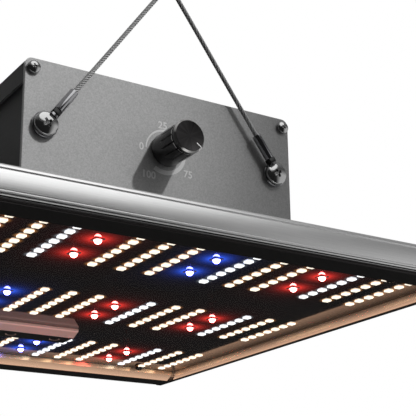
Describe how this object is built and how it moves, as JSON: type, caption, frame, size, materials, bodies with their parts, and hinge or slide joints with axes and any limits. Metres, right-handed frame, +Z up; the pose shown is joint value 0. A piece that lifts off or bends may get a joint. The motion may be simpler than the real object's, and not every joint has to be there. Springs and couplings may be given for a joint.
{
  "type": "led grow light",
  "caption": "Square LED grow light panel with a driver box, dimmer knob and two wire rope hanging bridles.",
  "frame": {"origin": "midway between the inside tops of the two bridles' eyes, above the middle of the lamp: the point it hangs from", "axes": "+Z up; the dimmer knob faces -Y; +X to the right seen from the front"},
  "size_m": [0.33, 0.326, 0.1785],
  "materials": {
    "satin_aluminium": "satin anodised extrusion and sheet",
    "grained_aluminium": "grey, fine grained",
    "black_anodised": "black anodised",
    "polished_reflector": "polished sheet",
    "bright_steel": "bright nickel plated steel",
    "wire_rope": "stranded steel rope",
    "board_lacquer": "gloss black solder mask",
    "black_plastic": "black plastic and black oxide screws",
    "knob_black": "gloss black with a bright cut rim",
    "cover_grey": "satin grey",
    "circuit_board": "green circuit board",
    "transformer_tape": "yellow tape",
    "capacitor_sleeve": "dark sleeve",
    "rubber": "black rubber",
    "brass": "nickel brass pins",
    "led_white": "phosphor coated LED packages, warm and cool white",
    "led_red": "clear dome over a red LED",
    "led_blue": "clear dome over a blue LED",
    "printed_mark": "printed dial scale and index line"
  },
  "bodies": {
    "lamp": {"board_connector": "black_plastic", "board_screw_1": "black_plastic", "board_screw_2": "black_plastic", "board_screw_3": "black_plastic", "board_screw_4": "black_plastic", "capacitor_1": "capacitor_sleeve", "capacitor_2": "capacitor_sleeve", "cover_screw_1": "black_plastic", "cover_screw_2": "black_plastic", "cover_screw_3": "black_plastic", "dimmer_nut": "bright_steel", "dimmer_potentiometer": "bright_steel", "driver_board": "circuit_board", "driver_housing": "black_anodised", "end_plate_front": "grained_aluminium", "end_plate_rear": "grained_aluminium", "hang_screw_front_left": "bright_steel", "hang_screw_front_right": "bright_steel", "hang_screw_rear_left": "bright_steel", "hang_screw_rear_right": "bright_steel", "heat_spreader": "satin_aluminium", "inlet_pin_1": "brass", "inlet_pin_2": "brass", "inlet_pin_3": "brass", "led_board": "board_lacquer", "mounting_bar_front": "satin_aluminium", "mounting_bar_rear": "satin_aluminium", "plate_screw_front_1": "bright_steel", "plate_screw_front_2": "bright_steel", "plate_screw_front_3": "bright_steel", "plate_screw_front_4": "bright_steel", "plate_screw_rear_1": "bright_steel", "plate_screw_rear_2": "bright_steel", "plate_screw_rear_3": "bright_steel", "plate_screw_rear_4": "bright_steel", "power_inlet": "black_plastic", "rail_front": "satin_aluminium", "rail_rear": "satin_aluminium", "reflector_front": "polished_reflector", "reflector_left": "polished_reflector", "reflector_rear": "polished_reflector", "reflector_right": "polished_reflector", "rope_terminal_front_left": "bright_steel", "rope_terminal_front_right": "bright_steel", "rope_terminal_rear_left": "bright_steel", "rope_terminal_rear_right": "bright_steel", "side_rail_left": "satin_aluminium", "side_rail_right": "satin_aluminium", "top_cover": "satin_aluminium", "transformer": "transformer_tape", "wire_cover": "cover_grey", "wire_grommet": "rubber"},
    "dimmer": {"dimmer_knob": "knob_black", "dimmer_shaft": "bright_steel"},
    "bridle_front": {"bridle_rope_front": "wire_rope", "crimp_sleeve_front": "bright_steel"},
    "bridle_rear": {"bridle_rope_rear": "wire_rope", "crimp_sleeve_rear": "bright_steel"}
  },
  "joints": [
    {"name": "dimmer_turn", "type": "hinge", "parent": "lamp", "child": "dimmer", "pos_m": [0, -0.1356, -0.122], "axis": [0, 1, 0], "range_deg": [-217, 83]},
    {"name": "bridle_front_fold", "type": "hinge", "parent": "lamp", "child": "bridle_front", "pos_m": [0, -0.1284, -0.1032], "axis": [1, 0, 0], "range_deg": [-10, 90], "stiffness_Nm_per_rad": 0.06},
    {"name": "bridle_rear_fold", "type": "hinge", "parent": "lamp", "child": "bridle_rear", "pos_m": [0, 0.1284, -0.1032], "axis": [-1, 0, 0], "range_deg": [-10, 90], "stiffness_Nm_per_rad": 0.06}
  ]
}
